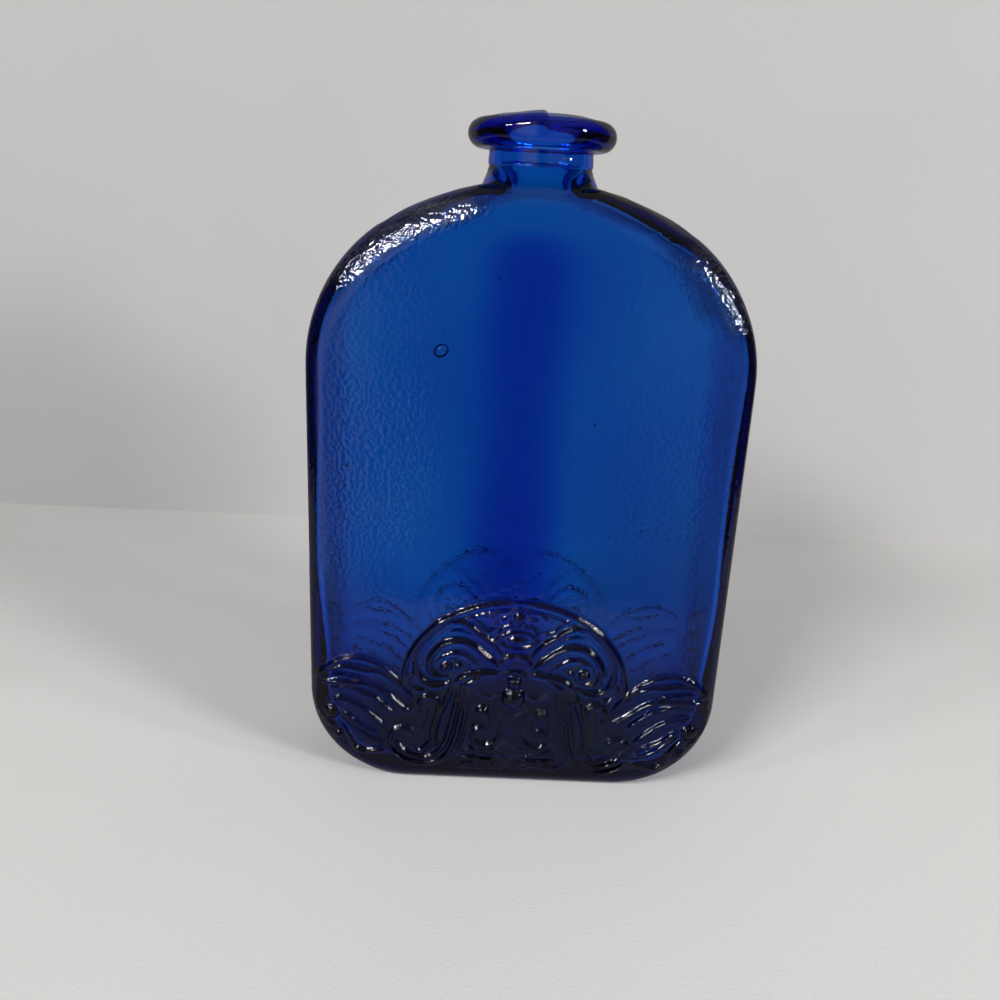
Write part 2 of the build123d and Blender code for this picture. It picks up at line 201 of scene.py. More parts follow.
PLUMES = (
    (2.3, 1.4, ((36, 31), (37.5, 35), (40, 39), (44, 43.5), (48, 46.8), (52.5, 49), (57.5, 50),
        (62, 49.3), (66.5, 47), (70, 43.5), (72, 39), (72.8, 34), (72, 29), (69.5, 25.5))),
    (2.6, 1.5, ((70.5, 43), (66, 45.5), (61, 46.3), (55, 45.2), (50, 45), (46, 43), (43, 40.5),
        (39.5, 38), (37, 34))),
    (1.7, 0.9, ((70.5, 42), (66, 43), (60, 42.3), (54, 41))),
    (2.6, 1.5, ((69.5, 39.3), (64, 40), (58, 39.8), (53, 39.5), (48, 37), (44, 34), (40, 30.5),
        (37, 29.7))),
    (2.5, 1.5, ((66.5, 37), (62, 38.2), (58, 37.5), (54, 35.5), (51, 34.5), (48, 32), (45, 29.5),
        (43, 27.5))),
    (2.4, 1.4, ((65.5, 33), (63, 33), (58, 31.3), (54, 29), (50, 25.5), (45.5, 21.3))),
    (2.2, 1.3, ((62, 27), (60, 26), (57, 23.5), (53, 21), (49, 19.5))),
    (2.2, 1.3, ((62, 26), (58, 22), (54, 18.5), (50, 16.5), (46, 15.7))),
    (2.2, 1.3, ((64, 24), (61, 20), (58.5, 15), (57, 12.5), (54, 11.3), (49, 12), (46, 11.8))),
    (1.8, 1.1, ((69.5, 25.5), (66.8, 22.5), (65, 21))),
)
RIDGES = ARCH + VOLUTES + CREST + KNOT + RIBBONS + LOWER_SCROLLS + PLUMES

# Beads and ovals: place across, height, half length, half height and how far they stand out.
BEADS = (
    (0, 43.8, 2.7, 2.7, 2.3),
    (0, 37.6, 4.5, 4.3, 2.9),
    (25, 48.3, 2.3, 2.3, 1.8),
    (20.5, 48.8, 1.5, 1.5, 1.2),
    (0, 69.5, 2.6, 2.6, 1.5),
    (0, 60.7, 4.0, 1.8, 1.1),
    (11, 31, 2.5, 2.5, 1.9),
    (66, 27.5, 3.0, 2.8, 1.7),
    (63.5, 18, 1.6, 1.6, 1.3),
    (27.5, 16.6, 1.3, 1.3, 1.1),
    (16.7, 8, 1.1, 1.0, 0.8),
    (6, 7.6, 1.0, 0.9, 0.7),
    (34.3, 29.6, 1.5, 1.5, 1.3),
)
# Oval rings: place across, height, half length, half height, width and height of the ring.
RINGS = (
    (0, 60.7, 6.6, 3.2, 1.5, 1.0),
    (0, 69.5, 3.6, 3.6, 1.2, 0.7),
    (25, 48.3, 3.9, 3.9, 1.2, 0.6),
)


class Form(NamedTuple):
    """Sizes of one skin of the flask, outer or inner."""

    half_w: float
    half_d: float
    edge_r: float
    heel_r: float
    foot_z: float
    spring_z: float
    shoulder_r: float
    crown_r: float
    crown_edge: float

    @property
    def shoulder_x(self):
        return self.half_w - self.shoulder_r

    @property
    def heel_x(self):
        return self.half_w - self.heel_r

    @property
    def crown_z(self):
        """Height of the crown arc's centre, from the tangency of the crown and shoulder arcs."""
        across = self.crown_r - self.shoulder_r
        return self.spring_z - (across**2 - self.shoulder_x**2) ** 0.5


def amount(name, description, default, **limits):
    """A number that the sidebar shows."""
    return bpy.props.FloatProperty(name=name, description=description, default=default, **limits)


def metres(name, description, default):
    """A length that the sidebar shows."""
    return amount(name, description, default, unit="LENGTH")


def rgb(name, description, default):
    """A colour that the sidebar shows."""
    return bpy.props.FloatVectorProperty(
        name=name, description=description, default=default, subtype="COLOR", min=0.0, max=1.0
    )


class FlaskSizes(bpy.types.PropertyGroup):
    """Sizes of the flask's glass."""

    body_width: metres("Body width", "Across the two straight sides", 0.150)
    body_depth: metres("Body depth", "Between the two flat panels", 0.0524)
    spring_height: metres("Spring height", "Where a side turns into a shoulder", 0.157)
    shoulder_radius: metres("Shoulder radius", "Arc from a side into the crown", 0.054)
    crown_radius: metres("Crown radius", "Flatter arc over the top", 0.09375)
    heel_radius: metres("Heel radius", "Rounded lower corners", 0.036)
    edge_radius: metres("Edge radius", "Rounding between panel and side", 0.006)
    crown_edge_radius: metres("Crown edge radius", "That rounding over the crown", 0.011)
    panel_wall: metres("Panel wall", "Glass of the flat panels", 0.0030)
    side_wall: metres("Side wall", "Glass of the sides and shoulders", 0.0040)
    floor_thickness: metres("Floor", "Glass under the hollow", 0.009)
    neck_radius: metres("Neck radius", "Outside of the neck", 0.017)
    neck_top: metres("Neck top", "Where the applied ring starts", 0.2265)
    mouth_radius: metres("Mouth radius", "Bore that takes the cork", 0.012)
    lip_radius: metres("Lip radius", "Widest part of the applied ring", 0.0244)
    lip_top: metres("Lip top", "Height of the mouth's edge", 0.237)
    relief_tilt: amount("Relief tilt", "Lean of the front mould", radians(-1.3), subtype="ANGLE")


class GlassLook(bpy.types.PropertyGroup):
    """Colour and surface of the glass."""

    skin: rgb("Skin tint", "Colour that each face of the glass lets through", (0.12, 0.57, 0.80))
    # The deep skin tint also paints shade low down and a dark ground under the shoulder glints.
    deep_skin: rgb("Deep skin tint", "The same where the glass is thick", (0.006, 0.045, 0.11))
    tint: rgb("Tint", "Colour that the thick glass lets through", (0.02, 0.33, 0.885))
    depth_of_colour: amount("Depth of colour", "Absorption per metre of glass", 305.0, min=0.0)
    index: amount("Index", "Refractive index of the glass", 1.5, min=1.0, max=2.5)
    roughness: amount("Roughness", "Haze of the fire-polished skin", 0.015, min=0.0, max=1.0)
    peel: amount("Orange peel", "Strength of the mould's skin texture", 0.8, min=0.0, max=1.0)


class StageLook(bpy.types.PropertyGroup):
    """Floor, backdrop, lamps and camera."""

    floor_colour: rgb("Floor", "Pale cloth under the flask", (0.63, 0.62, 0.605))
    backdrop_colour: rgb("Backdrop", "Pale sheet behind the flask", (0.46, 0.452, 0.445))
    backdrop_distance: metres("Backdrop distance", "Behind the flask's centre", 0.265)
    surround: amount("Surround", "Paleness of what is seen past the sheets", 0.5, min=0.0)
    room: amount("Room", "Light from every side", 0.04, min=0.0)
    ceiling: amount("Ceiling", "Light from above", 0.15, min=0.0)
    left: amount("Left corner", "Light from the viewer's left", 0.55, min=0.0)
    right: amount("Right corner", "Light from the viewer's right", 0.16, min=0.0)
    lens: amount("Lens", "Focal length on a 36 mm sensor, in millimetres", 32.42)


# Shape of the skins

def inset_half_width(form, z, inset):
    """Half width of the outline, drawn in by an inset, at a height.

    A lower corner is a circle about the heel's centre, a shoulder one about its own centre,
    and the crown one about the centre line. Each circle's radius is less the inset, and its
    half width is the centre's place plus the root of radius squared less rise squared.
    """
    heel_z = form.foot_z + form.heel_r
    reach = (form.shoulder_r - inset) / (form.crown_r - form.shoulder_r)
    tip_z = form.spring_z + (form.spring_z - form.crown_z) * reach
    heel = (form.heel_r - inset) ** 2 - (heel_z - z) ** 2
    shoulder = (form.shoulder_r - inset) ** 2 - (z - form.spring_z) ** 2
    crown = (form.crown_r - inset) ** 2 - (z - form.crown_z) ** 2
    width = np.where(z < heel_z, form.heel_x + np.sqrt(np.maximum(heel, 0)), form.half_w - inset)
    width = np.where(z > form.spring_z, form.shoulder_x + np.sqrt(np.maximum(shoulder, 0)), width)
    return np.where(z > tip_z, np.sqrt(np.maximum(crown, 0)), width)


def whole_ring(x, y, z):
    """Mirrors a quarter, from front centre to side, into a ring that runs front, right, back, left."""
    z = np.broadcast_to(z, x.shape)
    there = slice(0, -1)
    back = slice(None, 0, -1)
    quarters = [(1, -1, there), (1, 1, back), (-1, 1, there), (-1, -1, back)]
    return np.concatenate(
        [np.stack([sx * x[part], sy * y[part], z[part]], axis=1) for sx, sy, part in quarters]
    )


def edge_at(form, z):
    """Rounding between panel and side at a height: it grows from the sides to the crown."""
    return form.edge_r + (form.crown_edge - form.edge_r) * smooth_step(z, *EDGE_GROWTH)


def wall_ring(form, z, quarter):
    """Section of a skin at one height: flat panel, quarter round, then the side band.

    On the round, the inset from the outline is the edge radius times one less the sine, and
    the depth is the side band's half depth plus the edge radius times the cosine.
    """
    panel, rounded, side = quarter
    edge_r = edge_at(form, z)
    flat_d = form.half_d - edge_r
    share = np.arange(panel) / panel
    turn = np.arange(rounded) / rounded * pi / 2
    inset = edge_r * (1 - np.sin(turn))
    flat = share * inset_half_width(form, z, edge_r)
    outermost = np.full(side + 1, inset_half_width(form, z, 0.0))
    across = np.concatenate([flat, inset_half_width(form, z, inset), outermost])
    over = flat_d * (1 - np.arange(side + 1) / side)
    depth = np.concatenate([np.full(panel, form.half_d), flat_d + edge_r * np.cos(turn), over])
    return whole_ring(across, depth, z)


def unroll_depth(form, y, inset):
    """Length along the skin from its middle plane: over the side band, the round and the panel."""
    flat_d = form.half_d - form.edge_r
    turn = np.arcsin(np.clip((np.abs(y) - flat_d) / form.edge_r, 0, 1))
    over = np.maximum(inset - form.edge_r, 0)
    length = np.where(np.abs(y) <= flat_d, np.abs(y), flat_d + form.edge_r * turn + over)
    return np.copysign(length, y)


def roll_depth(form, length):
    """Depth and inset for a length along the skin: the inverse of unroll_depth."""
    flat_d = form.half_d - form.edge_r
    reach = np.abs(length)
    turn = np.clip((reach - flat_d) / form.edge_r, 0, pi / 2)
    over = np.maximum(reach - flat_d - form.edge_r * pi / 2, 0)
    depth = np.minimum(reach, flat_d) + form.edge_r * np.sin(turn)
    inset = form.edge_r * (1 - np.cos(turn)) + over
    return np.copysign(depth, length), inset


def unroll_foot(form, ring):
    """A ring low on the skin, unrolled flat: length along the outline and along the depth."""
    x, y, z = ring.T
    rise = form.heel_r - (z - form.foot_z)
    beyond = np.maximum(np.abs(x) - form.heel_x, 0)
    inset = np.where(beyond > 0, form.heel_r - np.hypot(beyond, rise), z - form.foot_z)
    along = np.minimum(np.abs(x), form.heel_x) + form.heel_r * np.arctan2(beyond, rise)
    return np.copysign(along, x), unroll_depth(form, y, inset)


def roll_foot(form, along, length):
    """Places on the foot of the skin: the inverse of unroll_foot."""
    y, inset = roll_depth(form, length)
    turn = np.maximum(np.abs(along) - form.heel_x, 0) / form.heel_r
    radius = form.heel_r - inset
    x = np.minimum(np.abs(along), form.heel_x) + radius * np.sin(turn)
    z = form.foot_z + form.heel_r - radius * np.cos(turn)
    return np.stack([np.copysign(x, along), y, z], axis=1)


def unroll_crown(form, ring):
    """A ring on the crown, unrolled flat: length along the crown arc and along the depth."""
    x, y, z = ring.T
    radius = np.hypot(x, z - form.crown_z)
    along = form.crown_r * np.arcsin(x / radius)
    return along, unroll_depth(form, y, form.crown_r - radius)


def roll_crown(form, along, length):
    """Places on the crown of the skin: the inverse of unroll_crown."""
    y, inset = roll_depth(form, length)
    turn = along / form.crown_r
    radius = form.crown_r - inset
    return np.stack([radius * np.sin(turn), y, form.crown_z + radius * np.cos(turn)], axis=1)


def even_turns(count):
    """Directions of a ring's columns seen from above, evenly spread, from the front centre."""
    return -pi / 2 + 2 * pi * np.arange(count) / count


def crown_rings(form, ring, foot, steps, evenness=0.6):
    """Rings from a section of the body to the neck's foot, straight on the unrolled skin.

    The foot is an ellipse there, slightly squared by a power of its cosine and sine. Its
    columns stand between their own directions and evenly spread ones. Also gives the skin's
    directions onward from the foot.
    """
    form = form._replace(edge_r=form.crown_edge)
    along, length = unroll_crown(form, ring)
    own = np.unwrap(np.arctan2(length, along))
    turns = own + (even_turns(len(ring)) - own) * evenness
    goal_along, goal_length = (
        half * np.sign(part) * np.abs(part) ** FOOT_POWER
        for half, part in zip(foot, (np.cos(turns), np.sin(turns)))
    )
    shares = np.arange(1, steps + 1) / steps
    rings = [
        roll_crown(form, along + (goal_along - along) * share, length + (goal_length - length) * share)
        for share in shares
    ]
    onward = roll_crown(form, PAST_FOOT * goal_along, PAST_FOOT * goal_length) - rings[-1]
    return rings, onward / np.linalg.norm(onward, axis=1, keepdims=True)


def blend(root, onward, goal, upright, lean, steps):
    """Rings from a foot on the skin up to a circle of the neck, by cubic curves.

    Each curve leaves in the skin's own direction, turned upwards by a share, and arrives
    between upwards and the straight way. Its inner points are a third of the gap from its ends.
    """
    start = onward * (1 - upright) + upright * np.array((0, 0, 1))
    start /= np.linalg.norm(start, axis=1, keepdims=True)
    gap = np.linalg.norm(goal - root, axis=1, keepdims=True) / 3
    one = root + start * gap
    two = goal - (goal - root) * lean / 3 - (1 - lean) * gap * np.array((0, 0, 1))
    return [
        (1 - t) ** 3 * root + 3 * (1 - t) ** 2 * t * one + 3 * (1 - t) * t**2 * two + t**3 * goal
        for t in np.arange(1, steps + 1) / steps
    ]


def turned_ring(turns, radius, height):
    """A circle about the neck's axis, with its own radius and height in each direction."""
    radius = np.broadcast_to(radius, turns.shape)
    height = np.broadcast_to(height, turns.shape)
    return np.stack([radius * np.cos(turns), radius * np.sin(turns), height], axis=1)


def smooth_step(value, low, high):
    """Zero below low, one above high, and three t squared less two t cubed between them."""
    share = np.clip((value - low) / (high - low), 0, 1)
    return share * share * (3 - 2 * share)


def between(value, low, full, fading, gone):
    """A smooth step up from low to full, times a smooth step down from fading to gone."""
    return smooth_step(value, low, full) * (1 - smooth_step(value, fading, gone))


# Relief

def crest_line(places, per_span=6):
    """Catmull-Rom curve: each span is a cubic through two places, steered by their neighbours."""
    points = np.array(places, float)
    points = np.vstack([2 * points[0] - points[1], points, 2 * points[-1] - points[-2]])
    share = (np.arange(per_span) / per_span)[None, :, None]
    a, b, c, d = (points[i:len(points) - 3 + i, None] for i in range(4))
    spans = (
        2 * b
        + (c - a) * share
        + (2 * a - 5 * b + 4 * c - d) * share**2
        + (3 * b - a - 3 * c + d) * share**3
    ) / 2
    return np.vstack([spans.reshape(-1, 2), points[-2]])


def arch_line(half_span, rise):
    """Right half of an ellipse about a centre low on the panel, from its top to just past level."""
    turn = np.linspace(0, pi / 2 + 0.12, 40)
    return np.stack([half_span * np.sin(turn), ARCH_HEIGHT + rise * np.cos(turn)], axis=1)


def ridge_rise(x, z, width, height, line, blunt=0.12):
    """Height of a ridge over the panel, which tapers at both ends.

    It is the height times one less the square of distance over half width, where the
    distance is the least to any of the crest's straight runs.
    """
    start = line[:-1]
    run = line[1:] - start
    length_sq = (run**2).sum(axis=1)
    spot = np.stack([x, z], axis=1)[:, None] - start[None]
    share = np.clip((spot * run).sum(axis=2) / length_sq, 0, 1)
    gap_sq = ((spot - share[..., None] * run) ** 2).sum(axis=2)
    nearest = gap_sq.argmin(axis=1)
    rows = np.arange(len(x))
    place = (nearest + share[rows, nearest]) / len(run)
    taper = 0.55 + 0.45 * smooth_step(np.minimum(place, 1 - place), 0, blunt)
    reach_sq = gap_sq[rows, nearest] / (width / 2 * taper) ** 2
    return height * taper * np.clip(1 - reach_sq, 0, 1)


def bead_rise(x, z, place, up, half_l, half_h, height):
    """Height of a bead: its own height times the root of one less the squared reaches."""
    return height * np.sqrt(np.clip(1 - ((x - place) / half_l) ** 2 - ((z - up) / half_h) ** 2, 0, 1))


def ring_rise(x, z, place, up, half_l, half_h, width, height):
    """Height of an oval ring: one less the square of the distance to its crest over half its width."""
    off = (np.hypot((x - place) / half_l, (z - up) / half_h) - 1) * min(half_l, half_h)
    return height * np.clip(1 - (off * 2 / width) ** 2, 0, 1)


def relief_rise(x, z, spread):
    """Height of the whole relief at places on a panel: the highest of its ridges and beads."""
    rise = np.zeros(len(x))
    side = np.abs(x)

    def raise_to(low, high, formula, *row):
        near = (side > low[0]) & (side < high[0]) & (z > low[1]) & (z < high[1])
        if near.any():
            rise[near] = np.maximum(rise[near], formula(side[near], z[near], *row))

    for width, height, *rest in RIDGES:
        line = arch_line(*rest[1]) if rest[0] == "arch" else crest_line(rest[0])
        low, high = line.min(axis=0) - width, line.max(axis=0) + width
        raise_to(low, high, ridge_rise, width * spread, height, line)
    for row in BEADS:
        middle, half = np.array(row[:2]), np.array(row[2:4])
        raise_to(middle - half, middle + half, bead_rise, *row)
    for row in RINGS:
        middle, half = np.array(row[:2]), np.array(row[2:4]) + row[4]
        raise_to(middle - half, middle + half, ring_rise, *row)
    return rise


def add_relief(rings, tilt):
    """Moves the rings' places out along the skin's normal by the relief's height there."""
    grid = np.stack(rings)
    around = np.roll(grid, -1, axis=1) - np.roll(grid, 1, axis=1)
    up = np.gradient(grid, axis=0)
    normal = np.cross(around, up)
    normal /= np.linalg.norm(normal, axis=2, keepdims=True)
    spots = grid.reshape(-1, 3)
    rise = np.zeros(len(spots))
    for side, lean, gain, spread in zip((-1, 1), (tilt, -tilt), RELIEF_GAIN, RELIEF_SPREAD):
        on_face = side * spots[:, 1] > RELIEF_DEPTH
        x, z = spots[on_face, 0], spots[on_face, 2] - TILT_HEIGHT
        rise[on_face] = gain * relief_rise(
            x * np.cos(lean) + z * np.sin(lean), TILT_HEIGHT + z * np.cos(lean) - x * np.sin(lean), spread
        )
    rise = rise.reshape(grid.shape[:2]) * smooth_step(np.abs(normal[..., 1]), *RELIEF_FACING)
    rise *= 1 - smooth_step(np.abs(grid[..., 0]), *RELIEF_ENDS)
    return list(grid + normal * rise[..., None])


# Glass

def outer_form(sizes):
    """The outer skin, in millimetres."""
    lengths = (
        sizes.body_width / 2, sizes.body_depth / 2, sizes.edge_radius, sizes.heel_radius, 0.0,
        sizes.spring_height, sizes.shoulder_radius, sizes.crown_radius, sizes.crown_edge_radius,
    )
    return Form(*(length / METRE for length in lengths))


def inner_form(sizes):
    """The inner skin: the outer one less the walls, with roundings of its own."""
    side = sizes.side_wall / METRE
    outer = outer_form(sizes)
    return outer._replace(
        half_w=outer.half_w - side, half_d=outer.half_d - sizes.panel_wall / METRE,
        edge_r=INNER_EDGE, heel_r=INNER_HEEL, foot_z=sizes.floor_thickness / METRE,
        shoulder_r=outer.shoulder_r - side, crown_r=outer.crown_r - side, crown_edge=INNER_CROWN_EDGE,
    )


def base_rings(form, ring):
    """Rings from the middle of the base out to the first wall ring, with the shallow push-up."""
    rings = []
    for step, shares in BASE_RINGS:
        along, length = unroll_foot(form, ring[::step])
        for share in shares:
            places = roll_foot(form, along * share, length * share)
            places[:, 2] += PUSH_UP * (1 - smooth_step(share, *PUSH_UP_SPAN))
            rings.append(places)
    return rings


def wall_heights():
    """Heights of the rings over the relief, evenly spaced."""
    return np.linspace(WALL_LOW, RELIEF_TOP, round((RELIEF_TOP - WALL_LOW) / RELIEF_ROW) + 1)


def lip_profile(sizes):
    """Radius and height down the outside of the neck's top, over the ring and into the mouth."""
    neck_r, neck_z = sizes.neck_radius / METRE, sizes.neck_top / METRE
    lip_r, lip_z, mouth_r = sizes.lip_radius / METRE, sizes.lip_top / METRE, sizes.mouth_radius / METRE
    roll_x = lip_r - LIP_ROLL
    turn = np.radians(np.linspace(-82, 84, 20))
    roll = np.stack([roll_x + LIP_ROLL * np.cos(turn), neck_z + LIP_ROLL + LIP_ROLL * np.sin(turn)], axis=1)
    band = np.array(TOOL_BAND) + (neck_r, neck_z)
    face = np.array(LIP_FACE) + (roll_x, lip_z)
    edge = np.array(MOUTH_EDGE) + (mouth_r, lip_z)
    return np.vstack([band, roll, face, edge])


def lap(turns, height):
    """Step where the applied ring's ends overlap: the left part stands higher and further out.

    It lies just right of the front centre, and grows up the ring.
    """
    angle = turns + pi / 2 - 0.025
    angle = (angle + pi) % (2 * pi) - pi
    return between(-angle, low=-0.02, full=0.02, fading=0.05, gone=0.75) * smooth_step(height, 228.5, 235.5)


def glass_rings(sizes):
    """Every ring of the glass, from the outer base over the lip to the inner floor."""
    outer = outer_form(sizes)
    first = wall_ring(outer, WALL_LOW, FINE_QUARTER)
    relief = [wall_ring(outer, z, FINE_QUARTER) for z in wall_heights()]
    rings = base_rings(outer, first) + add_relief(relief, sizes.relief_tilt)
    for z in np.linspace(RELIEF_TOP, CROWN_RING, PANEL_RINGS)[1:]:
        rings.append(wall_ring(outer, z, FINE_QUARTER)[::2])
    crown, onward = crown_rings(outer, rings[-1][::2], OUTER_FOOT, steps=14)
    return rings + crown + neck_rings(sizes, crown[-1], onward) + hollow_rings(sizes, len(onward))


def neck_rings(sizes, root, onward):
    """Flare, neck and applied ring, with the band under it that the lipping tool left."""
    neck_r, neck_z = sizes.neck_radius / METRE, sizes.neck_top / METRE
    turns = even_turns(len(root))
    sideways = smooth_step(np.abs(np.cos(turns)), 0.6, 0.95)[:, None]
    out, up = NECK_START
    goal = turned_ring(turns, neck_r + out, neck_z + up)
    rings = blend(root, onward, goal, upright=0.25 + 0.45 * sideways, lean=0.6, steps=14)
    wave = 0.18 * np.sin(turns * 2 + 0.6) + 0.1 * np.sin(turns * 5)
    for radius, height in lip_profile(sizes):
        on_band = between(height, neck_z - 6, neck_z - 5, neck_z - 3, neck_z)
        step = lap(turns, height)
        wider = 0.25 * step * (radius > OUTSIDE)
        rings.append(turned_ring(turns, radius + wider, height + wave * on_band + 0.75 * step))
    return rings


def hollow_rings(sizes, count):
    """Bore and cavity, down to the middle of the inner floor."""
    form = inner_form(sizes)
    mouth_r = sizes.mouth_radius / METRE
    turns = even_turns(count)
    rings = [turned_ring(turns, mouth_r + wider, z) for wider, z in BORE]
    high, low = CROWN_RING - INNER_CROWN_DROP, form.foot_z + INNER_WALL_LOW
    walls = [wall_ring(form, z, INNER_QUARTER) for z in np.linspace(high, low, INNER_RINGS)]
    crown, onward = crown_rings(form, walls[0], INNER_FOOT, steps=9)
    rise = blend(crown[-1], onward, rings[-1], upright=0.1, lean=0.2, steps=12)
    rings += rise[-2::-1]
    along, length = unroll_foot(form, walls[-1])
    shares = np.linspace(1, 0.06, FLOOR_RINGS)[1:]
    skin = crown[::-1] + walls + [roll_foot(form, along * share, length * share) for share in shares]
    return rings + [uneven(form, ring) for ring in skin]


def uneven(form, ring):
    """Thickens the glass inwards: mid-panel, near the foot and under the crown, with ripples.

    The middle's share is e to the power of less the square of the place over the spread, and
    the ripples are sines of place and height.
    """
    x, y, z = ring.T.copy()
    body = between(z, form.foot_z + 4, form.foot_z + 20, 190, 203)
    middle = np.exp(-((x - MIDDLE_PLACE) / MIDDLE_SPREAD) ** 2) * MIDDLE_THICKENING
    ripple = 0.22 * np.sin(x / 9.0 + z / 31.0) + 0.18 * np.sin(z / 12.0 - x / 17.0)
    ripple += 0.05 * np.sin(x / 2.3 + 1.3 * np.sin(z / 5.0)) * np.sin(z / 2.9 + np.sin(x / 4.0))
    low = LOW_THICKENING * (1 - smooth_step(z, 20, 85))
    deep = smooth_step(np.abs(y), form.half_d * 0.5, form.half_d)
    y -= np.sign(y) * deep * body * (middle + ripple + 0.4 * low)
    x -= np.sign(x) * smooth_step(np.abs(x), form.half_w * 0.5, form.half_w) * body * (
        low + 0.5 * np.sin(z / 17.0 + np.sign(x))
    )
    crown = CROWN_THICKENING * between(z, 150, 190, 207, 213)
    reach = np.hypot(x, z - form.crown_z)
    share = 1 - crown * smooth_step(reach, form.crown_r * 0.75, form.crown_r) / reach
    return np.stack([x * share, y, form.crown_z + (z - form.crown_z) * share], axis=1)


def outline_inset(form, x, z):
    """Distance from a place on the panel to the outline: the least of the walls' and arcs' insets."""
    side = np.abs(x)
    rise = z - form.spring_z
    crown = form.crown_r - np.hypot(side, z - form.crown_z)
    shoulder = form.shoulder_r - np.hypot(side - form.shoulder_x, rise)
    slope = form.shoulder_x / (form.spring_z - form.crown_z)
    top = np.where(side - form.shoulder_x > rise * slope, shoulder, crown)
    heel = form.heel_r - np.hypot(side - form.heel_x, form.foot_z + form.heel_r - z)
    foot = np.where(side > form.heel_x, heel, z - form.foot_z)
    wall = np.minimum(form.half_w - side, np.where(z < form.foot_z + form.heel_r, foot, np.inf))
    return np.maximum(np.where(rise > 0, top, wall), 0)


def hammered_stretches(form, places):
    """Share of being on a stretch of either shoulder, by the edge, where the skin is hammered, with a
    painted sheen and a painted dark ground.
    """
    x, _, z = places.T
    inset = outline_inset(form, x, z)
    left = smooth_step(-x, 14, 24) * smooth_step(z, 177, 188)
    right = smooth_step(x, 43, 51) * between(z, low=167, full=177, fading=200, gone=206)
    return between(inset, low=0.8, full=2.5, fading=8, gone=11.5) * (left + right)


def deep_tint_and_painted_shade(form, places):
    """Share of the deep tint: full low down, where the glass is thick and shade is painted in, and less at
    the edges.
    """
    x, y, z = places.T
    inset = outline_inset(form, x, z)
    # Low down this is thick glass and painted shade: the shaded cloth under the flask, seen through the
    # floor, which starts higher on the front.
    low = 1 - smooth_step(z + 0.06 * np.abs(x), np.where(y < 0, 34, 12), np.where(y < 0, 62, 42))
    edge = 1 - smooth_step(inset - 1.5 * smooth_step(z, *EDGE_GROWTH), 3.2, 5.2)
    edge *= 1 - smooth_step(z, 212, 218)
    ridge = smooth_step(np.abs(y) - form.half_d, 0.2, 1.2) * np.where(y < 0, 1.0, 0.3)
    # On the hammered stretches it adds a painted dark ground, which sets off the glints there.
    return np.clip(0.52 * low + 0.28 * edge + ridge + 0.5 * hammered_stretches(form, places), 0, 1)


def hammer_shade(form, places):
    """Strength of the hammering, and from 0.45 up of the painted sheen: greatest on a stretch of either
    shoulder, some by the sides.
    """
    x, _, z = places.T
    neck = smooth_step(z, 208, 216)
    side = (1 - smooth_step(np.abs(np.abs(x) - 48), 8, 24)) * (1 - smooth_step(np.abs(z - 125), 12, 40))
    plain = 0.04 + 0.08 * smooth_step(z, 70, 90)
    full = np.where(x < 0, 0.85, 0.7) * hammered_stretches(form, places)
    return (plain + full + 0.2 * side) * (1 - neck) + 0.03


def ring_faces(rings):
    """Triangles between neighbouring rings of equal, half or double counts, and at both poles."""
    counts = [len(ring) for ring in rings]
    starts = np.concatenate([[0], np.cumsum(counts)])
    faces = []
    for low, high, n, m in zip(starts, starts[1:], counts, counts[1:]):
        j = np.arange(min(n, m))
        if n == m:
            a, b, c, d = low + j, low + (j + 1) % n, high + (j + 1) % n, high + j
            faces += [(a, b, c), (a, c, d)]
        elif n > m:
            a, b, c = low + 2 * j, low + 2 * j + 1, low + (2 * j + 2) % n
            d, e = high + j, high + (j + 1) % m
            faces += [(a, b, d), (b, e, d), (b, c, e)]
        else:
            a, b = low + j, low + (j + 1) % n
            c, d, e = high + 2 * j, high + 2 * j + 1, high + (2 * j + 2) % m
            faces += [(a, b, d), (a, d, c), (b, e, d)]
    bottom, top = starts[-1], starts[-1] + 1
    j = np.arange(counts[0])
    faces.append((np.full(counts[0], bottom), (j + 1) % counts[0], j))
    j = np.arange(counts[-1])
    last = starts[-2]
    faces.append((last + j, last + (j + 1) % counts[-1], np.full(counts[-1], top)))
    places = np.vstack(rings + [rings[0].mean(axis=0)[None], rings[-1].mean(axis=0)[None]])
    return places, np.vstack([np.stack(corners, axis=1) for corners in faces])


def seed(place, height, length, width, lean, half_d, wall):
    """A bubble in the front panel: an ellipsoid whose faces look inwards, away from the glass."""
    rows, columns = 12, 20
    up = np.linspace(-pi / 2, pi / 2, rows + 2)[1:-1]
    round_it = 2 * pi * np.arange(columns) / columns
    u, v = np.meshgrid(up, round_it, indexing="ij")
    long_way = length / 2 * np.sin(u)
    wide_way = width / 2 * np.cos(u) * np.cos(v)
    deep_way = min(width, wall * 0.7) / 2 * np.cos(u) * np.sin(v)
    turn = radians(lean)
    x = place + wide_way * np.cos(turn) - long_way * np.sin(turn)
    z = height + wide_way * np.sin(turn) + long_way * np.cos(turn)
    y = -(half_d - wall * 0.45) + deep_way
    rings = list(np.stack([x, y, z], axis=2))
    places, faces = ring_faces(rings)
    return places, signed_in(places, faces)


def signed_in(places, faces):
    """The faces, turned if need be so that the volume that they close counts as negative."""
    a, b, c = (places[faces[:, i]] for i in range(3))
    volume = (a * np.cross(b, c)).sum()
    return faces if volume < 0 else faces[:, ::-1]


def new_object(name, data):
    """An object with the given data, linked into the scene."""
    thing = bpy.data.objects.new(name, data)
    bpy.context.scene.collection.objects.link(thing)
    return thing


